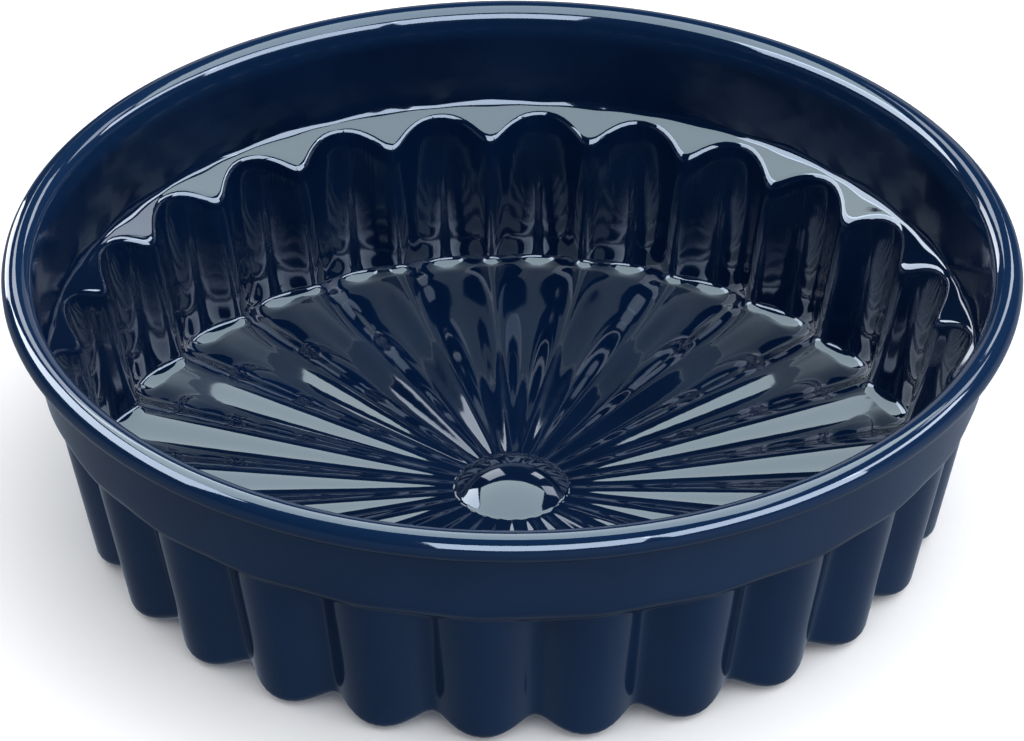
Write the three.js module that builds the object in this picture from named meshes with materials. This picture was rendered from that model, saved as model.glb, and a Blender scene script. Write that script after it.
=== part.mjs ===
import * as THREE from 'three';

// Fluted baking tin, one deep-drawn steel pressing with a rolled rim, fused in glass enamel inside and out.
// Millimetres, +Z up. The underside of the floor rests on z = 0 and the tin's axis is Z.

// Over the rolled rim.
const RIM_DIAMETER = 280;
// From the resting plane to the top of the rolled rim.
const HEIGHT = 80.2;
// Roll of the rim, enamel included.
const BEAD_DIAMETER = 8.4;
// Slit left between the end of the roll and the collar.
const CURL_GAP = 1.0;
const STEEL_THICKNESS = 0.8;
const ENAMEL_THICKNESS = 0.3;
// Smooth collar between the rim and the flutes: how far its foot lies inside the rim.
const COLLAR_INSET = 9.5;
// From the top of the rim down to the collar's foot.
const COLLAR_DEPTH = 31.2;
// Slope of the shoulder under the collar, from the horizontal.
const SHOULDER_ANGLE = THREE.MathUtils.degToRad(34);
// From the collar's foot in to the fullest part of the flutes, just under the shoulder.
const SHOULDER_WIDTH = 2.1;
// How far the flutes lean in from the shoulder to the floor.
const WALL_TAPER = 9.4;
const FLUTE_COUNT = 26;
// How far the sides of two flutes would meet inside the fullest part of the flutes.
const GROOVE_DEPTH_TOP = 8.3;
const GROOVE_DEPTH_FOOT = 7.2;
// Share of a flute's half width that is rounded off where two flutes meet.
const GROOVE_ROUND = 0.18;
// Outside radius of the bend from the wall into the floor.
const FLOOR_BEND_RADIUS = 7.0;
// Rise of the floor's ridges above its channels, at the wall. It grows from nothing at a radius under the hub,
// with a power of the distance from there.
const RIDGE_HEIGHT = 4.3;
const RIDGE_START_R = 12;
const RIDGE_GROWTH = 1.1;
// Share of a channel's width that lies flat.
const CHANNEL_FLAT = 0.2;
// Domed boss in the middle of the floor: its width, and its middle's rise above the channels.
const HUB_DIAMETER = 31;
const HUB_RISE = 6.1;

const QUARTER_STEPS = 2;
const TOTAL_THICKNESS = STEEL_THICKNESS + 2 * ENAMEL_THICKNESS;
const BEAD_RADIUS = BEAD_DIAMETER / 2;
const BEAD_CENTRE_R = RIM_DIAMETER / 2 - BEAD_RADIUS;
const BEAD_CENTRE_Z = HEIGHT - BEAD_RADIUS;
const COLLAR_FOOT_R = RIM_DIAMETER / 2 - COLLAR_INSET;
const COLLAR_FOOT_Z = HEIGHT - COLLAR_DEPTH;
const FLUTE_TOP_R = COLLAR_FOOT_R - SHOULDER_WIDTH;
const FLUTE_FOOT_R = FLUTE_TOP_R - WALL_TAPER;
const HUB_R = HUB_DIAMETER / 2;
const HUB_SPHERE_R = (HUB_R ** 2 + HUB_RISE ** 2) / (2 * HUB_RISE);

// Stations from the middle of one flute, at 0, over the groove at 1 to the next flute, at 2.
const SIDE = (1 + CHANNEL_FLAT) / 2;
const STATIONS = [0, CHANNEL_FLAT, SIDE, 1, 2 - SIDE, 2 - CHANNEL_FLAT];

// Directions round the axis, from the middle of a flute on +X, with the place of each in its flute.
function directions() {
  const half = Math.PI / FLUTE_COUNT;
  const all = [];
  for (let flute = 0; flute < FLUTE_COUNT; flute += 1) {
    for (const station of STATIONS) {
      all.push({ angle: (2 * flute + station) * half, across: Math.min(station, 2 - station) });
    }
  }
  return all;
}

const FINE = directions();
const COARSE = FINE.filter((_, index) => index % 2 === 0);

function ring(around, place) {
  return around.map((direction) => {
    const [r, z] = place(direction.across);
    return new THREE.Vector3(r * Math.cos(direction.angle), r * Math.sin(direction.angle), z);
  });
}

// Bulge of a flute's section: 0 in its middle, nearly 1 on the rounded crease between two flutes.
function crease(across) {
  const start = 1 - GROOVE_ROUND;
  if (across <= start) {
    return across * across;
  }
  return start - (start / GROOVE_ROUND) * (1 - across) ** 2;
}

// Straight-sided ridges between the floor's flat-bottomed channels.
function floorHeight(across, r) {
  const rise = THREE.MathUtils.mapLinear(Math.max(across, CHANNEL_FLAT), CHANNEL_FLAT, 1, 0, 1);
  const out = (r - RIDGE_START_R) / (FLUTE_FOOT_R - RIDGE_START_R);
  return rise * RIDGE_HEIGHT * out ** RIDGE_GROWTH;
}

function domeHeight(r) {
  return Math.sqrt(HUB_SPHERE_R ** 2 - r ** 2) - HUB_SPHERE_R + HUB_RISE;
}

// Corner where the line of the wall would meet the floor.
function wallFoot(across) {
  const r = FLUTE_FOOT_R - GROOVE_DEPTH_FOOT * crease(across);
  return new THREE.Vector2(r, floorHeight(across, r));
}

// Top of the wall, on the slope of the shoulder.
function wallTop(across) {
  const r = FLUTE_TOP_R - GROOVE_DEPTH_TOP * crease(across);
  return new THREE.Vector2(r, COLLAR_FOOT_Z - (COLLAR_FOOT_R - r) * Math.tan(SHOULDER_ANGLE));
}

// Three points of the bend between floor and wall: its start, middle and end.
function bend(across) {
  const corner = wallFoot(across);
  const up = wallTop(across).sub(corner).normalize();
  const reach = FLOOR_BEND_RADIUS * Math.tan(Math.asin(up.y) / 2);
  const startR = corner.x - reach;
  const start = new THREE.Vector2(startR, floorHeight(across, startR));
  const end = corner.clone().addScaledVector(up, reach);
  const middle = start.clone().add(end).addScaledVector(corner, 2).divideScalar(4);
  return [start, middle, end];
}

// The collar's outer face leans out to meet the roll of the rim.
const COLLAR_HEAD_R = BEAD_CENTRE_R - BEAD_RADIUS + TOTAL_THICKNESS;
const COLLAR_LEAN = Math.atan((COLLAR_HEAD_R - COLLAR_FOOT_R) / (BEAD_CENTRE_Z - COLLAR_FOOT_Z));
const SLIT_Z = BEAD_CENTRE_Z - BEAD_RADIUS;
const SLIT_R = COLLAR_FOOT_R + (SLIT_Z - COLLAR_FOOT_Z) * Math.tan(COLLAR_LEAN);

// Outer face of the outside enamel, from the middle of the floor to the slit under the rim.
const OUTER_FACE = [
  [new THREE.Vector3(0, 0, HUB_RISE)],
  ring(COARSE, () => [0.4 * HUB_R, domeHeight(0.4 * HUB_R)]),
  ring(COARSE, () => [0.75 * HUB_R, domeHeight(0.75 * HUB_R)]),
  ring(FINE, (across) => [HUB_R, floorHeight(across, HUB_R)]),
  ring(FINE, (across) => [FLUTE_FOOT_R / 2, floorHeight(across, FLUTE_FOOT_R / 2)]),
  ring(FINE, (across) => bend(across)[0].toArray()),
  ring(FINE, (across) => bend(across)[1].toArray()),
  ring(FINE, (across) => bend(across)[2].toArray()),
  ring(FINE, (across) => wallTop(across).toArray()),
  ring(COARSE, () => [COLLAR_FOOT_R, COLLAR_FOOT_Z]),
  ring(COARSE, () => [SLIT_R, SLIT_Z]),
];

// Triangles between two neighbouring rings, facing away from the inside of the tin.
function band(inner, outer) {
  const faces = [];
  const m = inner.length;
  const n = outer.length;
  if (m === 1) {
    for (let i = 0; i < n; i += 1) {
      faces.push([inner[0], outer[(i + 1) % n], outer[i]]);
    }
  } else if (m === n) {
    for (let i = 0; i < n; i += 1) {
      const next = (i + 1) % n;
      faces.push([inner[i], inner[next], outer[next]]);
      faces.push([inner[i], outer[next], outer[i]]);
    }
  } else if (n === 2 * m) {
    for (let i = 0; i < m; i += 1) {
      const next = (i + 1) % m;
      const mid = outer[2 * i + 1];
      faces.push([inner[i], mid, outer[2 * i]]);
      faces.push([inner[i], inner[next], mid]);
      faces.push([inner[next], outer[2 * next], mid]);
    }
  } else {
    for (let i = 0; i < n; i += 1) {
      const next = (i + 1) % n;
      const mid = inner[2 * i + 1];
      faces.push([inner[2 * i], mid, outer[i]]);
      faces.push([mid, outer[next], outer[i]]);
      faces.push([mid, inner[2 * next], outer[next]]);
    }
  }
  return faces;
}

function face(rings) {
  return rings.slice(1).flatMap((outer, index) => band(rings[index], outer));
}

// Rings moved into the sheet by a depth, square to the faces that meet at each point.
function sunk(rings, depth) {
  const sums = new Map();
  const faces = face(rings).map((corners) => ({ corners, triangle: new THREE.Triangle(...corners) }));
  for (const { corners, triangle } of faces) {
    const push = triangle.getNormal(new THREE.Vector3()).multiplyScalar(triangle.getArea());
    corners.forEach((corner) => {
      sums.set(corner, (sums.get(corner) ?? new THREE.Vector3()).add(push));
    });
  }
  sums.forEach((sum) => sum.normalize());
  const leans = new Map();
  for (const { corners, triangle } of faces) {
    const normal = triangle.getNormal(new THREE.Vector3());
    corners.forEach((corner) => {
      const list = leans.get(corner) ?? [];
      list.push(normal.dot(sums.get(corner)));
      leans.set(corner, list);
    });
  }
  return rings.map((points) => points.map((point) => {
    const list = leans.get(point);
    const mean = list.reduce((total, value) => total + value, 0) / list.length;
    return point.clone().addScaledVector(sums.get(point), -depth / mean);
  }));
}

// Turns of the roll of the rim: from the collar's head over the top and the outside to the cut edge below.
const CURL_START = Math.PI - COLLAR_LEAN;
const CURL_END_REACH = ((BEAD_RADIUS - TOTAL_THICKNESS) * Math.cos(COLLAR_LEAN) - CURL_GAP) / BEAD_RADIUS;
const CURL_END = Math.acos(CURL_END_REACH) - Math.PI - COLLAR_LEAN;
const CURL_TURNS = [CURL_START, Math.PI / 2, 0, -Math.PI / 2].flatMap((from, index, turns) => {
  const to = turns[index + 1] ?? CURL_END;
  const steps = index + 1 < turns.length ? QUARTER_STEPS : 1;
  return Array.from({ length: steps }, (_, step) => THREE.MathUtils.lerp(from, to, step / steps));
}).concat(CURL_END);

// Rings round the roll at one radius of the roll.
function curl(radius) {
  return CURL_TURNS.map((turn) => {
    const r = BEAD_CENTRE_R + radius * Math.cos(turn);
    const z = BEAD_CENTRE_Z + radius * Math.sin(turn);
    return ring(COARSE, () => [r, z]);
  });
}

const STEEL_DEPTH = ENAMEL_THICKNESS + STEEL_THICKNESS;
const STEEL_OUTER = sunk(OUTER_FACE, ENAMEL_THICKNESS);
const STEEL_INNER = sunk(OUTER_FACE, STEEL_DEPTH);
const INNER_FACE = sunk(OUTER_FACE, TOTAL_THICKNESS);
const ROLL_BACK = curl(BEAD_RADIUS - STEEL_DEPTH);
const ROLL_FRONT = curl(BEAD_RADIUS - ENAMEL_THICKNESS);
const ROLL_GLAZED = curl(BEAD_RADIUS);

// One closed layer between the face away from the inside of the tin and the face towards it.
function layer(name, away, towards, material) {
  const edge = band(away[away.length - 1], towards[towards.length - 1]);
  const back = face(towards).map(([a, b, c]) => [a, c, b]);
  const corners = [...face(away), ...edge, ...back].flat();
  const geometry = new THREE.BufferGeometry().setFromPoints(corners);
  geometry.computeVertexNormals();
  const mesh = new THREE.Mesh(geometry, material);
  mesh.name = name;
  return mesh;
}

const steel = new THREE.MeshStandardMaterial({ color: 0x6d7276, roughness: 0.45, metalness: 1 });
const insideGlass = new THREE.MeshStandardMaterial({ color: 0x0b1a34, roughness: 0.1, metalness: 0 });
const outsideGlass = new THREE.MeshStandardMaterial({ color: 0x0e1d38, roughness: 0.12, metalness: 0 });

const tin = new THREE.Group();
tin.name = 'fluted_baking_tin';
const steelAway = [...STEEL_OUTER, ...ROLL_BACK];
const steelTowards = [...STEEL_INNER, ...ROLL_FRONT];
tin.add(layer('steel_pressing', steelAway, steelTowards, steel));
tin.add(layer('inside_enamel', steelTowards, [...INNER_FACE, ...ROLL_GLAZED], insideGlass));
tin.add(layer('outside_enamel', OUTER_FACE, STEEL_OUTER, outsideGlass));

export default tin;
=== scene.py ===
import math

import bpy
import numpy as np
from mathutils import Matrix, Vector


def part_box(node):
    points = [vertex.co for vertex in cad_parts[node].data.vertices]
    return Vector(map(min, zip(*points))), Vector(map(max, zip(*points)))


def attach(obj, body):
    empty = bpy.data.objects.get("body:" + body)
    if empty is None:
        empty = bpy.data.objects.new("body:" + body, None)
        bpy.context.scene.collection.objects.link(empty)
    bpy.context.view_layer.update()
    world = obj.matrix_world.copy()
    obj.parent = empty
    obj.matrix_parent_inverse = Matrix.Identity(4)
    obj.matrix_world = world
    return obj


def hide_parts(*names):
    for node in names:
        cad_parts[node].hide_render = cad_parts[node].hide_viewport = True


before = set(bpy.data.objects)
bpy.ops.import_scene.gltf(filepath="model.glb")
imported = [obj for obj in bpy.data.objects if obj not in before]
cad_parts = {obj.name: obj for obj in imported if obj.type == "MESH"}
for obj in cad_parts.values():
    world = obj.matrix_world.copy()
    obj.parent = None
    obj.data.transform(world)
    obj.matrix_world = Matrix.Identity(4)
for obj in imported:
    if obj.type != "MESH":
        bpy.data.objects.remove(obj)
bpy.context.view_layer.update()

# Sheet of the tin: one disc of deep-drawing steel, pressed into a bowl, fluted between two dies and rolled
# outward at the rim into a hollow bead. Enamel covers it, so bare steel is left only inside the roll.
MM = 0.001
STEEL_THICKNESS = 0.8 * MM
ENAMEL_THICKNESS = 0.3 * MM
SHEET_THICKNESS = STEEL_THICKNESS + 2 * ENAMEL_THICKNESS
FLUTES = 26
HALF_FLUTE_STEPS = 10
HUB_ROWS = 21
FLOOR_ROWS = 10
FLOOR_BEND_STEPS = 12
WALL_STEPS = 8
SHOULDER_BEND_STEPS = 6
SHOULDER_STEPS = 4
COLLAR_BEND_STEPS = 8
COLLAR_STEPS = 5
ROLL_ROWS = 20
_, tin_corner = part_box("inside_enamel")
RIM_RADIUS = tin_corner[0]
HEIGHT = tin_corner[2]

BEAD_RADIUS = 4.2 * MM
CURL_GAP = 1.0 * MM
BEAD_R = RIM_RADIUS - BEAD_RADIUS
BEAD_Z = HEIGHT - BEAD_RADIUS
COLLAR_FOOT_R = RIM_RADIUS - 9.5 * MM
COLLAR_FOOT_Z = HEIGHT - 31.2 * MM
COLLAR_HEAD_R = BEAD_R - BEAD_RADIUS + SHEET_THICKNESS
COLLAR_LEAN = math.atan((COLLAR_HEAD_R - COLLAR_FOOT_R) / (BEAD_Z - COLLAR_FOOT_Z))
COLLAR_BEND_AT_FLUTE = 4.4 * MM
COLLAR_BEND_AT_GROOVE = 7.5 * MM
SHOULDER_ANGLE = math.radians(34)
SHOULDER_STEEPER_AT_FLUTE = math.radians(6)
STEEPER_UP_TO_BULGE = 0.16
FLUTE_TOP_R = COLLAR_FOOT_R - 2.1 * MM
FLUTE_FOOT_R = FLUTE_TOP_R - 9.4 * MM
GROOVE_DEPTH_TOP = 8.3 * MM
GROOVE_DEPTH_FOOT = 7.2 * MM
GROOVE_ROUND = 0.18
SHOULDER_BEND_AT_FLUTE = 1.7 * MM
SHOULDER_BEND_AT_GROOVE = 4.6 * MM
FLOOR_BEND_AT_FLUTE = 8.6 * MM
FLOOR_BEND_AT_GROOVE = 5.0 * MM
FLOOR_BEND_UPPER = 3.6 * MM
RIDGE_HEIGHT = 4.3 * MM
RIDGE_START_R = 12.0 * MM
RIDGE_GROWTH = 1.1
RIDGE_NARROWING = 0.125
HUB_R = 15.5 * MM
HUB_RISE = 6.1 * MM
HUB_SPHERE_R = (HUB_R**2 + HUB_RISE**2) / (2 * HUB_RISE)
HUB_EDGE_BLEND = 0.5 * MM
HUB_ZONE_R = 1.4 * HUB_R


def crease(across):
    """Bulge of a flute's section: 0 in its middle, nearly 1 on the rounded crease between two flutes."""
    start = 1 - GROOVE_ROUND
    if across <= start:
        return across**2
    return start - start / GROOVE_ROUND * (1 - across) ** 2


def ridge_height(across, r):
    """Rounded ridges between the floor's channels, rising from the hub to the wall."""
    out = max(0, r - RIDGE_START_R) / (FLUTE_FOOT_R - RIDGE_START_R)
    full = RIDGE_HEIGHT * out**RIDGE_GROWTH
    round_ridge = (1 - math.cos(math.pi * across)) / 2
    return full * (round_ridge - RIDGE_NARROWING * (1 - math.cos(2 * math.pi * across)) / 2)


def floor_height(across, r):
    """Channels and ridges of the floor, with the domed hub rising out of them in the middle."""
    ridge = ridge_height(across, r)
    dome = math.sqrt(HUB_SPHERE_R**2 - r**2) - HUB_SPHERE_R + HUB_RISE
    return (ridge + dome + math.hypot(ridge - dome, HUB_EDGE_BLEND)) / 2


def straight(start, end, steps):
    """Points from start to just before end."""
    return [start.lerp(end, step / steps) for step in range(steps)]


def rounded(corner, before, after, first_radius, last_radius, steps):
    """Points of a bend that rounds a corner, with one radius in its first half and one in its second."""
    along = (corner - before).normalized()
    onward = (after - corner).normalized()
    side = (onward - along * onward.dot(along)).normalized()
    turn = along.angle(onward)
    half = turn / 2
    bend = []
    for angle in np.linspace(0, turn, steps + 1):
        lower = min(angle, half)
        upper = max(angle, half)
        run = first_radius * math.sin(lower) + last_radius * (math.sin(upper) - math.sin(half))
        rise = first_radius * (1 - math.cos(lower)) + last_radius * (math.cos(half) - math.cos(upper))
        bend.append((run, rise))
    reach = bend[-1][0] - bend[-1][1] / math.tan(turn)
    return [corner + along * (run - reach) + side * rise for run, rise in bend]


def section(across):
    """The sheet's outer face at one place across a flute, from the floor's middle to the roll's end."""
    bulge = crease(across)
    hub_zone = np.linspace(0, HUB_ZONE_R, HUB_ROWS + 1)[1:]
    points = [Vector((r, floor_height(across, r))) for r in hub_zone]
    foot_r = FLUTE_FOOT_R - GROOVE_DEPTH_FOOT * bulge
    foot = Vector((foot_r, ridge_height(across, foot_r)))
    top_r = FLUTE_TOP_R - GROOVE_DEPTH_TOP * bulge
    steeper = max(0, 1 - bulge / STEEPER_UP_TO_BULGE) ** 2
    shoulder_angle = SHOULDER_ANGLE + SHOULDER_STEEPER_AT_FLUTE * steeper
    top = Vector((top_r, COLLAR_FOOT_Z - (COLLAR_FOOT_R - top_r) * math.tan(shoulder_angle)))
    collar_foot = Vector((COLLAR_FOOT_R, COLLAR_FOOT_Z))
    collar_head = Vector((COLLAR_HEAD_R, BEAD_Z))
    shoulder_bend = SHOULDER_BEND_AT_FLUTE + (SHOULDER_BEND_AT_GROOVE - SHOULDER_BEND_AT_FLUTE) * bulge
    floor_bend = FLOOR_BEND_AT_FLUTE + (FLOOR_BEND_AT_GROOVE - FLOOR_BEND_AT_FLUTE) * bulge
    collar_bend = COLLAR_BEND_AT_FLUTE + (COLLAR_BEND_AT_GROOVE - COLLAR_BEND_AT_FLUTE) * bulge
    near_r = 0.97 * foot_r
    near_foot = Vector((near_r, ridge_height(across, near_r)))
    floor_arc = rounded(foot, near_foot, top, floor_bend, FLOOR_BEND_UPPER, FLOOR_BEND_STEPS)
    shoulder_arc = rounded(top, foot, collar_foot, shoulder_bend, shoulder_bend, SHOULDER_BEND_STEPS)
    collar_arc = rounded(collar_foot, top, collar_head, collar_bend, collar_bend, COLLAR_BEND_STEPS)
    channel_zone = np.linspace(HUB_ZONE_R, floor_arc[0].x, FLOOR_ROWS + 2)[1:-1]
    points += [Vector((r, ridge_height(across, r))) for r in channel_zone]
    points += floor_arc
    points += straight(floor_arc[-1], shoulder_arc[0], WALL_STEPS)[1:] + shoulder_arc
    points += straight(shoulder_arc[-1], collar_arc[0], SHOULDER_STEPS)[1:] + collar_arc
    slit = collar_foot.lerp(collar_head, (BEAD_Z - BEAD_RADIUS - COLLAR_FOOT_Z) / (BEAD_Z - COLLAR_FOOT_Z))
    points += straight(collar_arc[-1], slit, COLLAR_STEPS)[1:] + [slit]

    roll = BEAD_RADIUS - SHEET_THICKNESS
    turn_start = math.pi - COLLAR_LEAN
    turn_end = math.acos((roll * math.cos(COLLAR_LEAN) - CURL_GAP) / BEAD_RADIUS) - math.pi - COLLAR_LEAN
    for turn in np.linspace(turn_start, turn_end, ROLL_ROWS):
        points.append(Vector((BEAD_R + roll * math.cos(turn), BEAD_Z + roll * math.sin(turn))))
    return points


half_stations = np.sin(np.linspace(0, math.pi / 2, HALF_FLUTE_STEPS + 1))
sections = [np.array(section(across)) for across in half_stations]
pitch = [(half_stations[i], sections[i]) for i in range(HALF_FLUTE_STEPS + 1)]
pitch += [(2 - half_stations[i], sections[i]) for i in range(HALF_FLUTE_STEPS - 1, 0, -1)]
columns = []
for flute in range(FLUTES):
    for station, points in pitch:
        angle = (2 * flute + station) * math.pi / FLUTES
        columns.append(np.stack(
            [points[:, 0] * math.cos(angle), points[:, 0] * math.sin(angle), points[:, 1]], axis=1))
outer_face = np.stack(columns, axis=1)
along = np.gradient(outer_face, axis=0)
around = np.roll(outer_face, -1, axis=1) - np.roll(outer_face, 1, axis=1)
away = np.cross(around, along)
away /= np.linalg.norm(away, axis=2, keepdims=True)


def face_at(depth):
    """The sheet's outer face moved into the sheet, with its middle point first."""
    rows = outer_face - away * depth
    return np.array([0.0, 0.0, floor_height(0, 0) + depth]), rows


def sheet_layer(name, outer_depth, inner_depth, rows):
    """Closed layer of the sheet between two depths, from the middle of the floor over a number of rows."""
    count = outer_face.shape[1]
    points = []
    faces = []
    rings = []
    for depth, outward in ((outer_depth, True), (inner_depth, False)):
        middle, grid = face_at(depth)
        points.append(middle)
        first = len(points)
        points.extend(grid[:rows].reshape(-1, 3))
        rings.append(first + (rows - 1) * count)
        for column in range(count):
            beside = (column + 1) % count
            face = [first - 1, first + beside, first + column]
            faces.append(face if outward else face[::-1])
            for low in range(first, first + (rows - 1) * count, count):
                high = low + count
                face = [low + column, low + beside, high + beside, high + column]
                faces.append(face if outward else face[::-1])
    for column in range(count):
        beside = (column + 1) % count
        faces.append([rings[0] + column, rings[0] + beside, rings[1] + beside, rings[1] + column])
    mesh = bpy.data.meshes.new(name)
    mesh.from_pydata(np.array(points).tolist(), [], faces)
    mesh.shade_smooth()
    mesh.set_sharp_from_angle(angle=math.radians(50))
    piece = bpy.data.objects.new(name, mesh)
    bpy.context.scene.collection.objects.link(piece)
    return piece


def linear(colour):
    """Linear RGBA of an sRGB hex colour."""
    channels = [int(colour[i:i + 2], 16) / 255 for i in (1, 3, 5)]
    return [c / 12.92 if c <= 0.04045 else ((c + 0.055) / 1.055) ** 2.4 for c in channels] + [1.0]


def add_node(material, kind, settings=None, **links):
    """Adds a node to a material, sets its properties and values, and links its inputs."""
    tree = material.node_tree
    node = tree.nodes.new(kind)
    for key, value in (settings or {}).items():
        if key in node.inputs:
            node.inputs[key].default_value = value
        else:
            setattr(node, key, value)
    for key, output in links.items():
        tree.links.new(node.inputs[key.replace("_", " ")], output)
    return node


# Cold-rolled steel, pickled before firing: a dull grey metal with a fine, even tooth.
drawing_steel = bpy.data.materials.new("pickled_drawing_steel")
drawing_steel.use_nodes = True
surface = drawing_steel.node_tree.nodes["Principled BSDF"]
surface.inputs["Metallic"].default_value = 1.0
place = add_node(drawing_steel, "ShaderNodeTexCoord").outputs["Object"]
PICKLE_TOOTH = 0.6 * MM
tooth = add_node(
    drawing_steel, "ShaderNodeTexNoise", {"Scale": 1 / PICKLE_TOOTH, "Detail": 3.0}, Vector=place)
tone = add_node(drawing_steel, "ShaderNodeValToRGB", Fac=tooth.outputs["Fac"])
tone.color_ramp.elements[0].color = linear("#5E6367")
tone.color_ramp.elements[1].color = linear("#868B8E")
shine = add_node(
    drawing_steel, "ShaderNodeMapRange", {"To Min": 0.38, "To Max": 0.55}, Value=tooth.outputs["Fac"])
drawing_steel.node_tree.links.new(surface.inputs["Base Color"], tone.outputs["Color"])
drawing_steel.node_tree.links.new(surface.inputs["Roughness"], shine.outputs["Result"])

pressing = sheet_layer("steel_sheet", ENAMEL_THICKNESS, ENAMEL_THICKNESS + STEEL_THICKNESS, len(outer_face))
pressing.data.materials.append(drawing_steel)
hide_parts("steel_pressing")
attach(pressing, "root")

# Inside coat: glass enamel sprayed as slip and fused on at about 820 degrees, over the inside and round the
# whole roll of the rim. It is the face that holds the batter.
inside_coat = sheet_layer(
    "inside_coat", ENAMEL_THICKNESS + STEEL_THICKNESS, SHEET_THICKNESS, len(outer_face))


def navy_enamel(name, shade, light_shade, rim_shade, ripple_height):
    """Fused glass over a dark ground coat: deep navy, wet gloss with a bluish tint, slow ripples where the
    slip ran and a faint orange peel. The flutes and the collar are a little duller. From 70 to 74 mm up the
    colour blends to the lit rim shade: painted light on the rim, which is lit like the outside of the tin."""
    enamel = bpy.data.materials.new(name)
    enamel.use_nodes = True
    glaze = enamel.node_tree.nodes["Principled BSDF"]
    glaze.inputs["IOR"].default_value = 1.52
    glaze.inputs["Specular Tint"].default_value = linear("#D4E7FF")
    where = add_node(enamel, "ShaderNodeTexCoord").outputs["Object"]
    cloud_size = 30 * MM
    ripple_size = 8 * MM
    peel_size = 2.5 * MM
    cloud = add_node(enamel, "ShaderNodeTexNoise", {"Scale": 1 / cloud_size, "Detail": 4.0}, Vector=where)
    colour = add_node(enamel, "ShaderNodeValToRGB", Fac=cloud.outputs["Fac"])
    colour.color_ramp.elements[0].position = 0.3
    colour.color_ramp.elements[0].color = linear(shade)
    colour.color_ramp.elements[1].position = 0.7
    colour.color_ramp.elements[1].color = linear(light_shade)
    level = add_node(enamel, "ShaderNodeSeparateXYZ", Vector=where).outputs["Z"]
    # Painted light: from 70 to 74 mm up, the colour blends to a paler shade because the rim is lit like the
    # outside of the tin.
    rim = add_node(enamel, "ShaderNodeMapRange", {"From Min": 70 * MM, "From Max": 74 * MM}, Value=level)
    toned = add_node(
        enamel, "ShaderNodeMixRGB", {"Color2": linear(rim_shade)},
        Fac=rim.outputs["Result"], Color1=colour.outputs["Color"])
    height = add_node(enamel, "ShaderNodeMapRange", {"From Max": HEIGHT}, Value=level)
    thin_coat = add_node(enamel, "ShaderNodeValToRGB", Fac=height.outputs["Result"])
    bands = thin_coat.color_ramp.elements
    wet = 0.05
    fluted = 0.08
    steep = 0.13
    bands[0].position = 6 * MM / HEIGHT
    bands[0].color = (wet, wet, wet, 1)
    bands[1].position = 74 * MM / HEIGHT
    bands[1].color = (wet, wet, wet, 1)
    for z, roughness in ((16, fluted), (38, fluted), (43, wet), (51, wet), (57, steep), (70, steep)):
        bands.new(z * MM / HEIGHT).color = (roughness, roughness, roughness, 1)
    uneven = add_node(
        enamel, "ShaderNodeMapRange", {"To Min": 0.6, "To Max": 1.4}, Value=cloud.outputs["Fac"])
    gloss = add_node(enamel, "ShaderNodeMath", {"operation": "MULTIPLY"})
    enamel.node_tree.links.new(gloss.inputs[0], thin_coat.outputs["Color"])
    enamel.node_tree.links.new(gloss.inputs[1], uneven.outputs["Result"])
    ripple = add_node(enamel, "ShaderNodeTexNoise", {"Scale": 1 / ripple_size, "Detail": 1.0}, Vector=where)
    peel = add_node(enamel, "ShaderNodeTexNoise", {"Scale": 1 / peel_size, "Detail": 0.0}, Vector=where)
    runs = add_node(enamel, "ShaderNodeMath", {"operation": "MULTIPLY"})
    enamel.node_tree.links.new(runs.inputs[0], thin_coat.outputs["Color"])
    runs.inputs[1].default_value = ripple_height / wet
    run = add_node(enamel, "ShaderNodeBump", Height=ripple.outputs["Fac"], Distance=runs.outputs["Value"])
    peel_height = 0.004 * MM
    skin = add_node(
        enamel, "ShaderNodeBump", {"Distance": peel_height},
        Height=peel.outputs["Fac"], Normal=run.outputs["Normal"])
    links = enamel.node_tree.links
    links.new(glaze.inputs["Base Color"], toned.outputs["Color"])
    links.new(glaze.inputs["Roughness"], gloss.outputs["Value"])
    links.new(glaze.inputs["Normal"], skin.outputs["Normal"])
    return enamel


# Painted shade: the inside coat is the same enamel as the outside coat, but its colours are set darker to
# stand in for the shade inside the tin, where less of the studio light reaches.
inside_enamel = navy_enamel("shaded_navy_enamel_inside", "#020F27", "#041631", "#0C2240", 0.04 * MM)
inside_coat.data.materials.append(inside_enamel)
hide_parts("inside_enamel")
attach(inside_coat, "root")

# Outside coat: the same glass enamel on the underside and the outside of the wall, up to the slit under the
# roll. The tin stands on it.
outside_coat = sheet_layer("outside_coat", 0.0, ENAMEL_THICKNESS, len(outer_face) - ROLL_ROWS)
outside_enamel = navy_enamel("navy_enamel_outside", "#0A1D39", "#0D2340", "#0C2240", 0.03 * MM)
outside_coat.data.materials.append(outside_enamel)
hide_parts("outside_enamel")
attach(outside_coat, "root")

# Studio: a pale table in a white room, and white panels that show only as reflections in the glossy enamel:
# one low overhead, three round the camera's right side, one on the left and small ones behind the tin.
FLOOR_HALF = 4.0
floor_corners = [(x * FLOOR_HALF, y * FLOOR_HALF, 0) for x, y in ((-1, -1), (1, -1), (1, 1), (-1, 1))]
floor_mesh = bpy.data.meshes.new("table_top")
floor_mesh.from_pydata(floor_corners, [], [(0, 1, 2, 3)])
table = bpy.data.objects.new("table_top", floor_mesh)
bpy.context.scene.collection.objects.link(table)
white_laminate = bpy.data.materials.new("white_laminate")
white_laminate.use_nodes = True
laminate = white_laminate.node_tree.nodes["Principled BSDF"]
laminate.inputs["Base Color"].default_value = linear("#F4F5F7")
laminate.inputs["Roughness"].default_value = 0.9
laminate.inputs["Specular IOR Level"].default_value = 0.0
floor_mesh.materials.append(white_laminate)
table.visible_glossy = False
table.visible_diffuse = False


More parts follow.
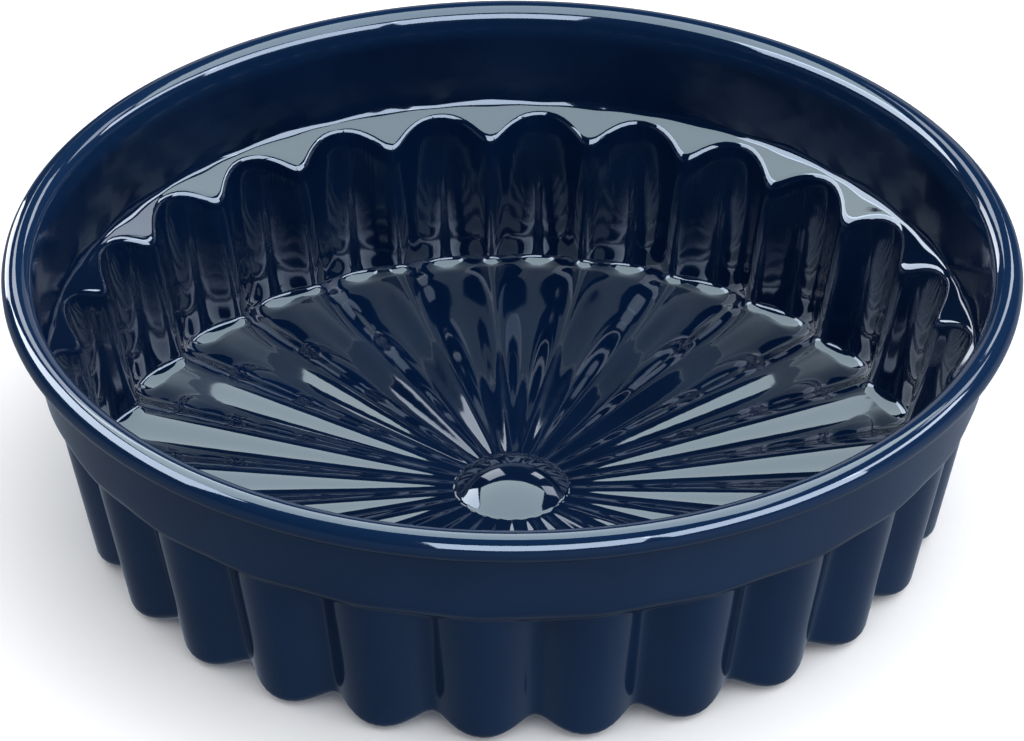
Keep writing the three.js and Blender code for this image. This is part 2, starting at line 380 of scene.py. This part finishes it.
def panel(name, place, target, size, radiance, colour="#FFFFFF"):
    """Rectangular softbox at a place, turned to a target. It shows as a reflection in the enamel."""
    lamp = bpy.data.lights.new(name, "AREA")
    lamp.shape = "RECTANGLE"
    lamp.size = size[0]
    lamp.size_y = size[1]
    lamp.color = linear(colour)[:3]
    lamp.energy = radiance * math.pi * size[0] * size[1]
    holder = bpy.data.objects.new(name, lamp)
    holder.location = place
    holder.rotation_euler = (Vector(target) - Vector(place)).to_track_quat("-Z", "Y").to_euler()
    holder.visible_diffuse = False
    holder.visible_camera = False
    bpy.context.scene.collection.objects.link(holder)
    return holder


def far_panel(name, azimuth, elevation, radiance):
    """Softbox that spans a range of azimuth, from the camera's side towards +X, and a range of elevation,
    both in degrees."""
    distance = 3.0
    turn = math.radians(sum(azimuth) / 2)
    rise = math.radians(sum(elevation) / 2)
    flat = math.cos(rise) * distance
    width = 2 * flat * math.tan(math.radians(azimuth[1] - azimuth[0]) / 2)
    height = 2 * distance * math.tan(math.radians(elevation[1] - elevation[0]) / 2)
    place = (flat * math.sin(turn), -flat * math.cos(turn), math.sin(rise) * distance)
    panel(name, place, (0, 0, 0), (width, height), radiance)


BRIGHT = 14.0
overhead = panel(
    "overhead_panel", (-0.010, 0.041, 0.4), (-0.010, 0.041, 0), (0.608, 0.402), 7.8, "#FAFFF2")
overhead.rotation_euler.z -= math.radians(8)
far_panel("front_panel", (-20, 25), (6, 40), BRIGHT)
far_panel("right_panel", (27, 75), (8, 37), BRIGHT)
far_panel("far_right_panel", (75, 112), (24, 35), BRIGHT)
panel("left_panel", (-0.6, 0.17, 0.515), (0, 0.17, 0.515), (0.82, 0.47), BRIGHT)
far_panel("left_back_panel", (203, 221), (-2, 18), 7.5)
far_panel("back_left_panel", (187, 207), (29, 47), 5.5)
far_panel("back_right_panel", (146, 157), (25, 38), 6.0)
far_panel("right_back_panel", (118, 133), (32, 46), 6.0)
far_panel("backdrop_panel", (155, 190), (0, 26), 0.6)

# White room: even soft light on the tin from above and the right, a plain white background to the camera, and
# a dim pale table with a dark ceiling in the enamel's reflections.
world = bpy.data.worlds.new("white_studio")
world.use_nodes = True
toward = add_node(world, "ShaderNodeTexCoord").outputs["Generated"]
axes = add_node(world, "ShaderNodeSeparateXYZ", Vector=toward)
height = add_node(world, "ShaderNodeMapRange", {"To Min": 0.75, "To Max": 2.2}, Value=axes.outputs["Z"])
side = add_node(
    world, "ShaderNodeMapRange", {"From Min": -1.0, "To Min": 0.4, "To Max": 1.6}, Value=axes.outputs["X"])
soft_light = add_node(world, "ShaderNodeMath", {"operation": "MULTIPLY"})
world.node_tree.links.new(soft_light.inputs[0], height.outputs["Result"])
world.node_tree.links.new(soft_light.inputs[1], side.outputs["Result"])
white_room = add_node(
    world, "ShaderNodeBackground", {"Color": linear("#FFFFFF")}, Strength=soft_light.outputs["Value"])
upward = add_node(world, "ShaderNodeMapRange", {"From Min": -1.0}, Value=axes.outputs["Z"])
mirrored = add_node(world, "ShaderNodeValToRGB", Fac=upward.outputs["Result"])
mirrored.color_ramp.elements[0].position = 0.08
mirrored.color_ramp.elements[0].color = linear("#78828F")
mirrored.color_ramp.elements[1].position = 0.5
mirrored.color_ramp.elements[1].color = linear("#343F48")
mirrored.color_ramp.elements.new(0.17).color = linear("#97A3B5")
mirrored.color_ramp.elements.new(0.4).color = linear("#97A3B5")
gleam = add_node(
    world, "ShaderNodeMapRange", {"From Min": -0.6, "From Max": 0.6, "To Min": 0.65}, Value=axes.outputs["X"])
dim_room = add_node(
    world, "ShaderNodeBackground", Color=mirrored.outputs["Color"], Strength=gleam.outputs["Result"])
rays = add_node(world, "ShaderNodeLightPath")
room = add_node(world, "ShaderNodeMixShader", Fac=rays.outputs["Is Glossy Ray"])
world.node_tree.links.new(room.inputs[1], white_room.outputs["Background"])
world.node_tree.links.new(room.inputs[2], dim_room.outputs["Background"])
backdrop = add_node(world, "ShaderNodeBackground", {"Color": linear("#FFFFFF"), "Strength": 1.0})
view = add_node(world, "ShaderNodeMixShader", Fac=rays.outputs["Is Camera Ray"])
world.node_tree.links.new(view.inputs[1], room.outputs["Shader"])
world.node_tree.links.new(view.inputs[2], backdrop.outputs["Background"])
world.node_tree.links.new(world.node_tree.nodes["World Output"].inputs["Surface"], view.outputs["Shader"])
bpy.context.scene.world = world
bpy.context.scene.view_settings.view_transform = "Standard"

# Camera: the photograph's view, a long lens from above and in front.
CAMERA_PITCH = math.radians(33.38)
CAMERA_TURN = math.radians(3.06)
camera = bpy.data.objects.new("camera", bpy.data.cameras.new("camera"))
camera.location = (-0.0758, -1.4169, 0.9755)
camera.rotation_euler = (math.pi / 2 - CAMERA_PITCH, 0, -CAMERA_TURN)
camera.data.sensor_width = 36.0
camera.data.lens = 215.1
bpy.context.scene.collection.objects.link(camera)
bpy.context.scene.camera = camera
